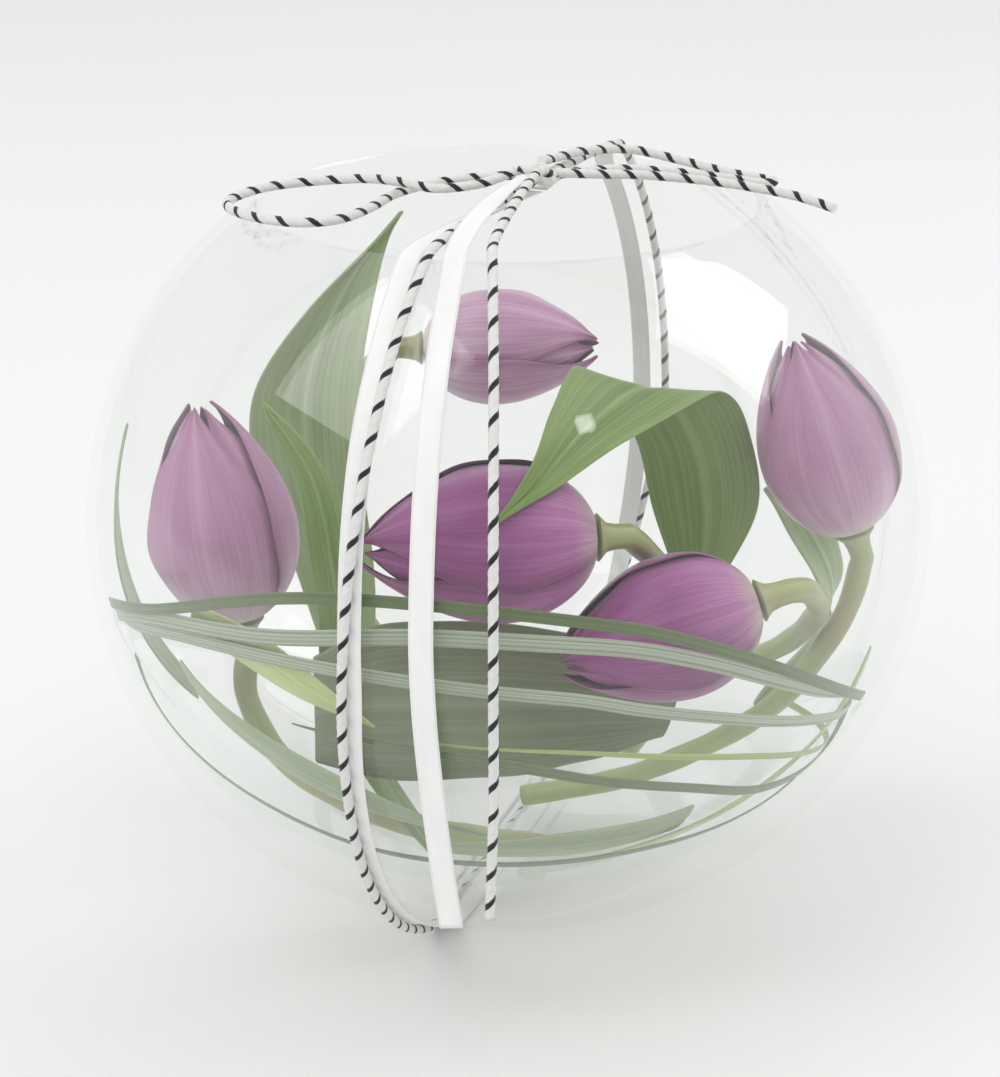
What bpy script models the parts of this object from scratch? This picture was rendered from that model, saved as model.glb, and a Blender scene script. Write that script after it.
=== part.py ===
"""Five cut tulips lying in a round glass bowl that is tied with a satin ribbon and striped twine.

The bowl is turned about +Z and stands on its flat foot at z = 0, with the origin at the foot's centre. The front
of the object faces -Y. An azimuth is measured in degrees from the front, positive towards +X. Places that
were chosen by hand are written in millimetres and turned into metres by mm().
"""

import math

import bpy
from mathutils import Vector

OBJECT_NAME = "tulips_in_a_vase"

# Driving dimensions of the bowl, in metres.
BOWL_RADIUS = 0.100
BOWL_HALF_HEIGHT = 0.0968
BOWL_CENTRE_Z = 0.0915
RIM_Z = 0.170
WALL = 0.0025
BASE_THICKNESS = 0.008
BOWL_STEPS = 48
CHANNEL_WIDTH = 0.012
CHANNEL_DEPTH = 0.0018

# Ribbon and twine.
GAP = 0.0003
RIBBON_WIDTH = 0.005
RIBBON_THICKNESS = 0.0003
TWINE_RADIUS = 0.0011
TWINE_LIFT = 0.00195
FLOOR_CLEARANCE = 0.00026
WRAP_AZIMUTH = -20.0
KNOT_CENTRE = (6.0, 0.0, 175.1)
KNOT_RADII = (4.5, 4.0, 2.8)

# Flowers and leaves.
STEM_RADIUS = 0.0027
PETAL_THICKNESS = 0.0006
PETAL_LAYER_STEP = 0.0015
PETAL_ROWS = 6
PETAL_COLUMNS = 4
LEAF_THICKNESS = 0.0008
GRASS_THICKNESS = 0.0005
LEAF_ROWS = 8
LEAF_COLUMNS = 3
GRASS_ROWS = 24

GLASS = (0.93, 0.96, 0.95)
LEAF_GREEN = (0.16, 0.33, 0.06)
PALE_GREEN = (0.35, 0.50, 0.20)
GRASS_GREEN = (0.10, 0.22, 0.05)
YELLOW_GREEN = (0.45, 0.58, 0.12)
STEM_GREEN = (0.36, 0.46, 0.17)
WHITE = (0.88, 0.88, 0.86)


def mm(x, y, z):
    """A place in millimetres as a vector in metres."""
    return Vector((x, y, z)) * 0.001


# ---- scene helpers -------------------------------------------------------------------------------------------

def clear_scene():
    for item in list(bpy.data.objects):
        bpy.data.objects.remove(item, do_unlink=True)


def new_collection(name):
    collection = bpy.data.collections.new(name)
    bpy.context.scene.collection.children.link(collection)
    return collection


def make_material(name, colour, roughness, alpha=1.0):
    material = bpy.data.materials.new(name)
    material.use_nodes = True
    shader = material.node_tree.nodes["Principled BSDF"]
    shader.inputs["Base Color"].default_value = (*colour, 1.0)
    shader.inputs["Roughness"].default_value = roughness
    shader.inputs["Metallic"].default_value = 0.0
    shader.inputs["Alpha"].default_value = alpha
    return material


def add_object(name, data, colour, roughness, alpha=1.0, parent=None):
    item = bpy.data.objects.new(name, data)
    PARTS.objects.link(item)
    data.materials.append(make_material(name, colour, roughness, alpha))
    if parent is not None:
        item.parent = parent
    return item


def add_sheet(name, rows, thickness, colour, roughness, parent=None):
    """A closed thin solid: a grid of points made a surface and thickened evenly to both sides."""
    columns = len(rows[0])
    points = [point for row in rows for point in row]
    faces = []
    for i in range(len(rows) - 1):
        for j in range(columns - 1):
            corner = i * columns + j
            faces.append((corner, corner + 1, corner + columns + 1, corner + columns))
    mesh = bpy.data.meshes.new(name)
    mesh.from_pydata(points, [], faces)
    item = add_object(name, mesh, colour, roughness, parent=parent)
    mesh.shade_smooth()
    solidify = item.modifiers.new("thickness", "SOLIDIFY")
    solidify.thickness = thickness
    solidify.offset = 0.0
    return item


def add_tube(name, points, radii, colour, roughness):
    """A round cord or stem through the points, with filled ends and its own radius at each point."""
    curve = bpy.data.curves.new(name, "CURVE")
    curve.dimensions = "3D"
    curve.bevel_depth = 1.0
    curve.bevel_resolution = 2
    curve.use_fill_caps = True
    spline = curve.splines.new("POLY")
    spline.points.add(len(points) - 1)
    for place, point, radius in zip(spline.points, points, radii):
        place.co = (*point, 1.0)
        place.radius = radius
    return add_object(name, curve, colour, roughness)


# ---- curves --------------------------------------------------------------------------------------------------

def blend(values, position):
    """Catmull-Rom value of a list of numbers or vectors at a position counted in list steps."""
    last = len(values) - 1
    index = min(max(int(position), 0), last - 1)
    t = position - index
    before = values[max(index - 1, 0)]
    start = values[index]
    end = values[index + 1]
    after = values[min(index + 2, last)]
    return 0.5 * (
        2 * start + (end - before) * t
        + (2 * before - 5 * start + 4 * end - after) * t ** 2
        + (3 * start - before - 3 * end + after) * t ** 3
    )


def smooth_route(points, count):
    """Points spaced evenly along the smooth curve through the given points."""
    fine = [blend(points, i * (len(points) - 1) / 400) for i in range(401)]
    lengths = [0.0]
    for a, b in zip(fine, fine[1:]):
        lengths.append(lengths[-1] + (b - a).length)
    route = []
    index = 0
    for i in range(count):
        target = lengths[-1] * i / (count - 1)
        while index < 399 and lengths[index + 1] < target:
            index += 1
        step = lengths[index + 1] - lengths[index]
        route.append(fine[index].lerp(fine[index + 1], (target - lengths[index]) / step))
    return route


def table_value(table, key):
    """Straight-line value between the (key, value) pairs of a table whose keys fall."""
    for (key_a, value_a), (key_b, value_b) in zip(table, table[1:]):
        if key >= key_b:
            share = min(1.0, (key_a - key) / (key_a - key_b))
            return value_a + (value_b - value_a) * max(0.0, share)
    return table[-1][1]


# ---- bowl ----------------------------------------------------------------------------------------------------

def inner_half_height(z):
    """Vertical half axis of the inner surface: the base is thicker than the wall."""
    if z >= BOWL_CENTRE_Z:
        return BOWL_HALF_HEIGHT - WALL
    return BOWL_CENTRE_Z - BASE_THICKNESS


def on_wall(point, inset):
    """The point moved along its ray from the bowl's centre to a set distance inside the inner surface."""
    side = BOWL_RADIUS - WALL - inset
    height = inner_half_height(point.z) - inset
    level = point.z - BOWL_CENTRE_Z
    scale = 1.0 / math.sqrt((point.x ** 2 + point.y ** 2) / side ** 2 + level ** 2 / height ** 2)
    return Vector((point.x * scale, point.y * scale, BOWL_CENTRE_Z + level * scale))


def wall_place(azimuth, height_mm, inset):
    """The place at an azimuth and a height, a set distance inside the inner surface."""
    z = height_mm * 0.001
    level = (z - BOWL_CENTRE_Z) / inner_half_height(z)
    radius = (BOWL_RADIUS - WALL) * math.sqrt(1.0 - level ** 2)
    angle = math.radians(azimuth)
    return on_wall(Vector((radius * math.sin(angle), -radius * math.cos(angle), z)), inset)


def floor_place(x_mm, y_mm, lift):
    """The place above a plan position whose distance to the bowl's inner bottom is lift."""
    radius = math.hypot(x_mm, y_mm) * 0.001
    side = BOWL_RADIUS - WALL
    depth = BOWL_CENTRE_Z - BASE_THICKNESS
    drop = math.sqrt(1.0 - (radius / side) ** 2)
    slope = depth * radius / (side ** 2 * drop)
    z = BOWL_CENTRE_Z - depth * drop + lift * math.sqrt(1.0 + slope ** 2)
    return Vector((x_mm * 0.001, y_mm * 0.001, z))


def make_bowl():
    """The turned glass, with a shallow channel across the foot for the flattened ribbon and twine."""
    rim = math.asin((RIM_Z - BOWL_CENTRE_Z) / BOWL_HALF_HEIGHT)
    foot = math.asin(BOWL_CENTRE_Z / BOWL_HALF_HEIGHT)
    profile = []
    inner_side = BOWL_RADIUS - WALL
    inner_rim = math.asin((RIM_Z - 0.001 - BOWL_CENTRE_Z) / (BOWL_HALF_HEIGHT - WALL))
    for i in range(11):
        angle = math.radians(-90 + 90 * i / 11)
        depth = BOWL_CENTRE_Z - BASE_THICKNESS
        profile.append((inner_side * math.cos(angle), BOWL_CENTRE_Z + depth * math.sin(angle)))
    for i in range(8):
        angle = inner_rim * i / 7
        height = BOWL_HALF_HEIGHT - WALL
        profile.append((inner_side * math.cos(angle), BOWL_CENTRE_Z + height * math.sin(angle)))
    profile.append((profile[-1][0] + 0.0013, RIM_Z))
    profile.append((BOWL_RADIUS * math.cos(rim) - 0.0008, RIM_Z))
    for i in range(12):
        angle = rim - 0.012 - (rim - 0.012 + foot) * i / 11
        profile.append((BOWL_RADIUS * math.cos(angle), BOWL_CENTRE_Z + BOWL_HALF_HEIGHT * math.sin(angle)))
    profile.append((0.0, 0.0))
    profile[0] = (0.0, BASE_THICKNESS)

    mesh = bpy.data.meshes.new("glass_bowl")
    mesh.from_pydata([(x, 0.0, z) for x, z in profile], [(i, i + 1) for i in range(len(profile) - 1)], [])
    bowl = add_object("glass_bowl", mesh, GLASS, 0.03, alpha=0.3)
    screw = bowl.modifiers.new("turn", "SCREW")
    screw.steps = BOWL_STEPS
    screw.render_steps = BOWL_STEPS
    screw.use_merge_vertices = True
    screw.merge_threshold = 0.00001
    screw.use_smooth_shade = True

    bpy.ops.mesh.primitive_cube_add(size=1.0)
    cutter = bpy.context.active_object
    cutter.name = "foot_channel_cutter"
    for collection in list(cutter.users_collection):
        collection.objects.unlink(cutter)
    CUTTERS.objects.link(cutter)
    cutter.scale = (CHANNEL_WIDTH, 3 * BOWL_RADIUS, 2 * CHANNEL_DEPTH)
    cutter.rotation_euler = (0.0, 0.0, math.radians(WRAP_AZIMUTH))
    cutter.hide_render = True
    cutter.display_type = "WIRE"
    cut = bowl.modifiers.new("foot_channel", "BOOLEAN")
    cut.operation = "DIFFERENCE"
    cut.object = cutter


# ---- tulips --------------------------------------------------------------------------------------------------

def bloom_outline(t, length, radius):
    """Radius and height of a closed bloom's side at t, from 0 at the base to 1 at the tip."""
    bulge = math.sin(math.pi * (0.07 + 0.90 * t ** 0.8)) ** 0.75
    return radius * bulge, length * t


def layer_outline(t, length, radius, inset):
    """The bloom's side moved inwards, square to itself."""
    step = 0.01
    r_low, z_low = bloom_outline(max(t - step, 0.0), length, radius)
    r_high, z_high = bloom_outline(min(t + step, 1.0), length, radius)
    run = math.hypot(r_high - r_low, z_high - z_low)
    r, z = bloom_outline(t, length, radius)
    return r - inset * (z_high - z_low) / run, z + inset * (r_high - r_low) / run


def petal_share(t):
    """How much of its third of the bloom a petal fills: whole low down, narrowing to a point."""
    if t < 0.5:
        return 1.0
    return max(0.08, (1.0 - (2.0 * t - 1.0) ** 2.5) ** 0.8)


def add_petal(name, length, radius, inset, azimuth, colour, parent):
    rows = []
    for i in range(PETAL_ROWS + 1):
        t = i / PETAL_ROWS
        r, z = layer_outline(t, length, radius, inset)
        half = (math.radians(60.0) - math.asin(0.00025 / r)) * petal_share(t)
        row = []
        for j in range(PETAL_COLUMNS + 1):
            angle = math.radians(azimuth) + half * (2.0 * j / PETAL_COLUMNS - 1.0)
            row.append((r * math.cos(angle), r * math.sin(angle), z))
        rows.append(row)
    add_sheet(name, rows, PETAL_THICKNESS, colour, 0.45, parent)


def add_tulip(name, base, tip, radius_mm, roll, colour, stem_points, stem_end):
    """One flower: six petals round the top of a stem that ends at the bowl's bottom."""
    axis = (tip - base).normalized()
    length = (tip - base).length
    place = bpy.data.objects.new(name + "_place", None)
    PARTS.objects.link(place)
    place.location = base
    place.rotation_mode = "QUATERNION"
    place.rotation_quaternion = axis.to_track_quat("Z", "Y")
    for layer, inset, turn in (("outer", 0.0, 0.0), ("inner", PETAL_LAYER_STEP, 60.0)):
        for i in range(3):
            azimuth = roll + turn + 120.0 * i
            petal = f"{name}_petal_{layer}_{i + 1}"
            add_petal(petal, length, radius_mm * 0.001, inset, azimuth, colour, place)

    # The stem's head: a seat under the petals, then the ovary inside them.
    seat_radius = bloom_outline(0.0, length, radius_mm * 0.001)[0] - 0.0002
    head = ((-0.008, STEM_RADIUS), (-0.003, 0.0032), (-0.0011, seat_radius), (-0.0008, 0.0021), (0.013, 0.0019),
            (0.016, 0.0009))
    head_points = [base + axis * along for along, radius in head]
    head_radii = [radius for along, radius in head]
    lift = STEM_RADIUS + GAP
    route = smooth_route([floor_place(*stem_end, lift)] + stem_points[::-1] + [head_points[0]], 10)
    points = route[:-1] + head_points
    radii = [STEM_RADIUS] * (len(route) - 1) + head_radii
    add_tube(name + "_stem", points, radii, STEM_GREEN, 0.5)


def make_tulips():
    add_tulip("tulip_left", mm(-61, -32, 80), mm(-69, -28, 130), 16.5, 20.0, (0.50, 0.17, 0.40),
              [mm(-60, -35, 60), mm(-50, -38, 44), mm(-26, -33, 27)], (8, -20))
    add_tulip("tulip_centre", mm(18, -58, 110), mm(-31, -67, 111), 17.0, 50.0, (0.30, 0.04, 0.22),
              [mm(33, -43, 98), mm(44, -22, 76), mm(42, 4, 46)], (32, 22))
    add_tulip("tulip_front_right", mm(53, -60, 96), mm(11, -68, 85), 15.5, 35.0, (0.30, 0.04, 0.22),
              [mm(66, -50, 94), mm(72, -25, 78), mm(68, 4, 56), mm(54, 28, 38)], (34, 46))
    add_tulip("tulip_right", mm(80, -19, 97), mm(64, -17, 142), 15.8, 10.0, (0.50, 0.17, 0.40),
              [mm(79, -14, 70), mm(64, -4, 42), mm(34, 3, 21)], (4, 8))
    add_tulip("tulip_back", mm(-21, 47, 120), mm(23, 42, 122), 14.5, 0.0, (0.55, 0.30, 0.45),
              [mm(-45, 48, 104), mm(-51, 47, 70), mm(-32, 44, 36)], (-6, 36))


# ---- leaves and grass ----------------------------------------------------------------------------------------

def leaf_share(t, shoulder):
    """A leaf's width along its length: broad at the shoulder, pointed at the tip."""
    if t < shoulder:
        return 0.5 + 0.5 * math.sin(0.5 * math.pi * t / shoulder)
    return max(0.05, math.cos(0.5 * math.pi * (t - shoulder) / (1.0 - shoulder)) ** 0.9)


def cut_leaf_share(t, shoulder):
    """A leaf piece whose wide end is cut off."""
    return 0.35 + 0.65 * math.sin(0.5 * math.pi * min(1.0, t / shoulder))


def grass_share(t, shoulder):
    """A blade of even width that comes to a point over its last stretch."""
    return max(0.15, min(1.0, (1.0 - t) / (1.0 - shoulder)) ** 0.7)


def add_wall_strip(name, places, width_mm, inset_mm, share, shoulder, thickness, rows, columns, colour):
    """A blade or leaf that lies along the inside of the glass, through (azimuth, height) places."""
    inset = inset_mm * 0.001
    route = smooth_route([wall_place(azimuth, height, inset) for azimuth, height in places], rows + 1)
    grid = []
    for i, centre in enumerate(route):
        tangent = route[min(i + 1, rows)] - route[max(i - 1, 0)]
        normal = centre - Vector((0.0, 0.0, BOWL_CENTRE_Z))
        across = normal.cross(tangent).normalized()
        half = 0.0005 * width_mm * share(i / rows, shoulder)
        row = [on_wall(centre + across * half * (2.0 * j / columns - 1.0), inset) for j in range(columns + 1)]
        grid.append(row)
    add_sheet(name, grid, thickness, colour, 0.45)


def add_free_leaf(name, stations, cup, colour):
    """A leaf away from the glass, from stations of (place, direction across, half width in mm)."""
    last = len(stations) - 1
    centres = [place for place, across, half in stations]
    directions = [Vector(across).normalized() for place, across, half in stations]
    halves = [half * 0.001 for place, across, half in stations]
    grid = []
    for i in range(LEAF_ROWS + 1):
        position = last * i / LEAF_ROWS
        centre = blend(centres, position)
        across = blend(directions, position).normalized()
        ahead = blend(centres, min(position + 0.1, last)) - blend(centres, max(position - 0.1, 0))
        normal = across.cross(ahead).normalized()
        half = max(0.0003, blend(halves, position))
        row = []
        for j in range(LEAF_COLUMNS + 1):
            side = 2.0 * j / LEAF_COLUMNS - 1.0
            row.append(centre + across * half * side + normal * cup * half * side ** 2)
        grid.append(row)
    add_sheet(name, grid, LEAF_THICKNESS, colour, 0.45)


def make_leaves():
    across_x = (1.0, 0.0, 0.0)
    add_free_leaf("leaf_thin_front_left", [
        (floor_place(-14, -36, 0.0012), (0.8, -0.5, 0.0), 2.5),
        (mm(-29, -43, 46), (0.8, -0.5, 0.0), 5.0),
        (mm(-36, -47.6, 72), (0.8, -0.5, 0.1), 5.5),
        (mm(-37, -54, 96), (0.8, -0.4, 0.1), 5.0),
        (mm(-41, -55, 122), (0.8, -0.4, 0.3), 4.2),
        (mm(-52, -50, 138), (0.7, -0.4, 0.5), 0.3),
    ], 0.25, LEAF_GREEN)
    add_free_leaf("leaf_wide_low", [
        (mm(-42, -63, 71), (0.0, 0.15, 1.0), 12.0),
        (mm(-26, -60, 71), (0.0, 0.15, 1.0), 18.0),
        (mm(0, -53, 68), (0.0, 0.15, 1.0), 18.0),
        (mm(22, -46, 64), (0.2, 0.15, 1.0), 14.0),
        (mm(38, -40, 59), (0.3, 0.15, 1.0), 6.0),
    ], 0.15, LEAF_GREEN)
    add_free_leaf("leaf_curled", [
        (mm(44.4, -19.3, 79), across_x, 3.0),
        (mm(46, -17, 99), across_x, 12.0),
        (mm(42, -20, 119), (1.0, 0.1, -0.1), 14.0),
        (mm(31, -31, 135), (0.89, 0.35, -0.25), 18.0),
        (mm(17, -52, 133), (0.85, 0.1, -0.45), 9.0),
        (mm(7, -68, 127), (0.75, -0.1, -0.6), 3.5),
        (mm(-2, -77.5, 121.5), (0.7, -0.1, -0.7), 0.3),
    ], -0.1, LEAF_GREEN)
    add_free_leaf("leaf_back_left", [
        (floor_place(-38, 17, 0.0011), (0.4, 0.9, 0.0), 2.5),
        (mm(-44, 27, 66), across_x, 10.0),
        (mm(-50, 29, 92), across_x, 13.5),
        (mm(-50, 31, 116), (1.0, 0.1, 0.1), 13.5),
        (mm(-40, 33, 140), (0.9, 0.1, 0.4), 9.0),
        (mm(-26, 33, 159), (0.7, 0.1, 0.6), 0.4),
    ], 0.2, LEAF_GREEN)
    add_free_leaf("leaf_under_right", [
        (floor_place(64, 18, 0.0014), (-0.27, 0.96, 0.0), 2.5),
        (mm(77, 14, 52), (0.0, 0.95, 0.2), 5.0),
        (mm(80, 8, 70), (0.3, 0.8, 0.4), 6.5),
        (mm(73, 5, 87), (0.7, 0.5, 0.5), 5.5),
        (mm(62, 4, 98), (0.7, 0.4, 0.6), 0.3),
    ], 0.2, PALE_GREEN)

    wall_leaves = (
        ("leaf_bottom_front", [(-12, 37), (0, 38), (16, 39), (33, 41)], 17.0, 5.3, cut_leaf_share, 0.5, PALE_GREEN),
        ("leaf_yellow_pointed", [(-46, 96), (-34, 92), (-25, 86), (-17, 80)], 9.0, 4.0, leaf_share, 0.4,
         YELLOW_GREEN),
        ("leaf_low_left", [(-66, 64), (-44, 53), (-24, 42), (-4, 31)], 17.0, 10.6, leaf_share, 0.5, LEAF_GREEN),
        ("leaf_left_edge", [(-88, 44), (-85, 70), (-85, 96), (-88, 118)], 13.0, 4.2, leaf_share, 0.4, PALE_GREEN),
        ("leaf_low_right", [(16, 29), (36, 36), (58, 48), (80, 64)], 9.0, 4.0, leaf_share, 0.4, YELLOW_GREEN),
    )
    for name, places, width, inset, share, shoulder, colour in wall_leaves:
        add_wall_strip(name, places, width, inset, share, shoulder, LEAF_THICKNESS, LEAF_ROWS, LEAF_COLUMNS, colour)


def make_grass():
    blades = (
        ("grass_blade_1", [(-108, 46), (-80, 76), (-50, 95), (-29, 107), (-10, 110), (11, 106), (24, 99), (39, 86),
                           (62, 65)], 2.6, 1.0, 1.0, GRASS_GREEN),
        ("grass_blade_2", [(-84, 72), (-55, 90), (-30, 98), (-10, 103), (11, 101), (24, 95), (38, 84), (58, 68)],
         3.6, 1.9, 0.9, PALE_GREEN),
        ("grass_blade_3", [(-120, 40), (-85, 70), (-60, 84), (-42, 91), (-19, 93), (5, 90), (17, 85), (32, 77),
                           (54, 64), (84, 50)], 3.0, 2.8, 0.9, PALE_GREEN),
        ("grass_blade_4", [(80, 50), (64, 48), (43, 52), (26, 62), (12, 69), (-1, 75), (-14, 78), (-28, 79)], 2.8, 1.0,
         0.7, GRASS_GREEN),
        ("grass_blade_5", [(100, 36), (78, 43), (55, 54), (33, 67), (11, 76), (-9, 79)], 1.8, 1.9, 0.6,
         YELLOW_GREEN),
        ("grass_blade_6", [(-80, 62), (-62, 54), (-42, 47), (-24, 41), (-4, 40), (20, 41), (42, 41), (60, 42)],
         2.6, 1.0, 0.8, GRASS_GREEN),
    )
    for name, places, width, inset, shoulder, colour in blades:
        share = cut_blade_share if shoulder == 1.0 else grass_share
        add_wall_strip(name, places, width, inset, share, shoulder, GRASS_THICKNESS, GRASS_ROWS, 1, colour)


def cut_blade_share(t, shoulder):
    """A blade that is cut square, so it keeps its width to the end."""
    return 1.0


# ---- ribbon and twine ----------------------------------------------------------------------------------------

# Sideways place of each wrap, in millimetres, by its angle round the bowl: 54 at the front rim, -90 under the
# foot and -234 at the back rim.
RIBBON_SIDEWAYS = [(54, 0.0), (30, 1.0), (10, 2.7), (0, 3.1), (-15, 1.8), (-40, 0.0), (-60, -0.6), (-75, 0.0),
                   (-120, 0.0), (-180, 3.5), (-234, 2.0)]
TWINE_SIDEWAYS = [(54, 4.6), (45, 3.8), (30, 3.5), (10, 2.4), (-15, 1.0), (-40, -0.8), (-62, -3.0), (-66, -3.7),
                  (-114, -3.7), (-130, -2.0), (-180, 10.0), (-234, 8.6)]


def outer_place(azimuth, angle, lift):
    """A place outside the glass at an azimuth, by its angle above the bowl's widest level."""
    turn = math.radians(angle)
    slope = Vector((math.cos(turn) / BOWL_RADIUS, math.sin(turn) / BOWL_HALF_HEIGHT)).normalized()
    radius = BOWL_RADIUS * math.cos(turn) + lift * slope.x
    z = BOWL_CENTRE_Z + BOWL_HALF_HEIGHT * math.sin(turn) + lift * slope.y
    around = math.radians(azimuth)
    return Vector((radius * math.sin(around), -radius * math.cos(around), z))


def wrap_place(angle, sideways_mm, lift, lowest):
    """A place on the loop that runs down the front, under the foot and up the back."""
    around = math.radians(WRAP_AZIMUTH)
    forward = Vector((math.sin(around), -math.cos(around), 0.0))
    sideways = Vector((math.cos(around), math.sin(around), 0.0))
    plain = outer_place(0.0, angle, lift)
    radius = -plain.y
    shift = sideways_mm * 0.001
    if abs(radius) > 0.03:
        radius = math.copysign(math.sqrt(radius ** 2 - shift ** 2), radius)
    point = forward * radius + sideways * shift
    point.z = max(plain.z, lowest)
    return point


def knot_side(x, y, z):
    """The place just off the knot's skin in a direction from its centre."""
    direction = Vector((x, y, z)).normalized()
    squash = math.sqrt(sum((part / radius) ** 2 for part, radius in zip(direction, KNOT_RADII)))
    return mm(*KNOT_CENTRE) + direction * (0.001 / squash + 3 * GAP)


def add_twine(name, points, count):
    """A twine tube that flattens where it runs low under the foot."""
    route = smooth_route(points, count)
    radii = [min(TWINE_RADIUS, point.z - FLOOR_CLEARANCE) for point in route]
    add_tube(name, route, radii, WHITE, 0.85)


def add_ribbon(name, route, half_widths, up_at_start):
    """A flat ribbon along the route, lying flat on what it passes over."""
    grid = []
    last = len(route) - 1
    normal = up_at_start
    for i, centre in enumerate(route):
        tangent = (route[min(i + 1, last)] - route[max(i - 1, 0)]).normalized()
        normal = (normal - tangent * normal.dot(tangent)).normalized()
        across = normal.cross(tangent)
        grid.append([centre - across * half_widths[i], centre + across * half_widths[i]])
    add_sheet(name, grid, RIBBON_THICKNESS, WHITE, 0.35)


def make_ribbon():
    lift = GAP + RIBBON_THICKNESS / 2
    lowest = FLOOR_CLEARANCE + RIBBON_THICKNESS / 2
    loop = [wrap_place(angle, table_value(RIBBON_SIDEWAYS, angle), lift, lowest) for angle in range(53, -234, -6)]
    over_front = [mm(5.6, -1.0, 171.7), mm(-3.5, -18, 171.6), mm(-15.5, -42, 171.3), mm(-19.2, -53.0, 171.2)]
    over_back = [mm(22.8, 51.5, 171.2), mm(17.5, 40, 171.3), mm(11.5, 18, 171.6), mm(6.4, 1.0, 171.7)]
    route = smooth_route(over_front + loop + over_back, 100)
    add_ribbon("ribbon_wrap", route, [RIBBON_WIDTH / 2] * len(route), Vector((0.0, 0.0, 1.0)))

    tail = [mm(4.2, -4.6, 176.2), mm(-1.2, -20, 175.8), mm(-7.0, -40, 174.6), mm(-10.4, -53, 171.9)]
    tail += [outer_place(azimuth, angle, lift) for azimuth, angle in ((-10.6, 53), (-10.4, 40), (-10.2, 25), (-9.9, 9))]
    hanging = BOWL_RADIUS + lift
    tail += [Vector((side * 0.001, -hanging, z * 0.001)) for side, z in ((-16.6, 90), (-15.4, 74), (-13.5, 56))]
    tail.append(Vector((-0.0115, -hanging, 0.040)))
    route = smooth_route(tail, 40)
    halves = [RIBBON_WIDTH / 2 * min(1.0, 0.5 + 0.1 * i) for i in range(len(route))]
    add_ribbon("ribbon_tail", route, halves, Vector((0.0, 0.0, 1.0)))


def make_knot():
    bpy.ops.mesh.primitive_uv_sphere_add(segments=12, ring_count=7, radius=1.0, location=mm(*KNOT_CENTRE))
    knot = bpy.context.active_object
    knot.name = "twine_knot"
    for collection in list(knot.users_collection):
        collection.objects.unlink(knot)
    PARTS.objects.link(knot)
    knot.scale = mm(*KNOT_RADII)
    knot.data.name = "twine_knot"
    knot.data.shade_smooth()
    knot.data.materials.append(make_material("twine_knot", WHITE, 0.85))


def make_twine():
    make_knot()
    lowest = FLOOR_CLEARANCE + 0.00044
    loop = [wrap_place(angle, table_value(TWINE_SIDEWAYS, angle), TWINE_LIFT, lowest)
            for angle in range(52, -233, -4)]
    over_front = [knot_side(-0.3, -0.9, -0.25), mm(-5.0, -28, 173.5), mm(-14.6, -52, 172.3)]
    over_back = [mm(26.6, 48.5, 172.3), mm(17.0, 26, 173.5), knot_side(0.4, 0.9, -0.25)]
    add_twine("twine_wrap", over_front + loop + over_back, 79)

    tail = [knot_side(0.1, -0.9, 0.35), mm(2.5, -24, 176.0), mm(-2.8, -51, 172.9)]
    tail += [outer_place(azimuth, angle, TWINE_RADIUS + 1.6 * GAP) for azimuth, angle in ((-2.8, 52), (-2.0, 38), (-1.7, 22), (-1.6, 9))]
    hanging = BOWL_RADIUS + TWINE_RADIUS + GAP
    tail += [Vector((-0.0028, -hanging, z * 0.001)) for z in (90, 68)]
    tail.append(Vector((-0.0036, -hanging, 0.043)))
    add_twine("twine_tail_front", tail, 34)

    add_twine("twine_loop_left", [
        knot_side(-0.9, -0.35, 0.25), mm(-6, -8, 175.0), mm(-16, -11, 174.6), mm(-25, -4, 174.6), mm(-34, 4, 173.4),
        mm(-48, 6, 172.0), mm(-57, 1, 171.6), mm(-62.5, -9, 171.2), mm(-60, -19, 171.4), mm(-53, -27, 171.6),
        mm(-44, -31, 171.7), mm(-36, -28, 171.8), mm(-30, -17, 171.8), mm(-26, -6, 171.9), mm(-20, 2, 172.1),
        mm(-10, 5, 173.2), knot_side(-0.85, 0.5, -0.1),
    ], 36)
    add_twine("twine_loop_right", [
        knot_side(0.35, 0.7, 0.6), mm(11, 11, 176.8), mm(19, 21, 176.4), mm(30, 31, 174.4), mm(41, 28, 172.6),
        mm(51, 19.5, 171.7), mm(59, 13, 171.5), mm(61.5, 10, 171.4), mm(58, 8.6, 171.5), mm(50, 12, 171.9),
        mm(38, 14, 172.8), mm(26, 12.5, 173.8), mm(16, 6, 174.6), knot_side(0.95, 0.3, -0.05),
    ], 32)
    add_twine("twine_tail_right", [
        knot_side(0.9, -0.4, 0.2), mm(20, 2.5, 174.8), mm(31, 7.0, 173.6), mm(45, 7.0, 172.4), mm(57, 2.5, 171.6),
        mm(66, -3, 170.8), mm(73, -9, 169.6),
    ], 14)


clear_scene()
PARTS = new_collection(OBJECT_NAME)
CUTTERS = new_collection("cutters")
make_bowl()
make_tulips()
make_leaves()
make_grass()
make_ribbon()
make_twine()
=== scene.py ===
import math

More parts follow.
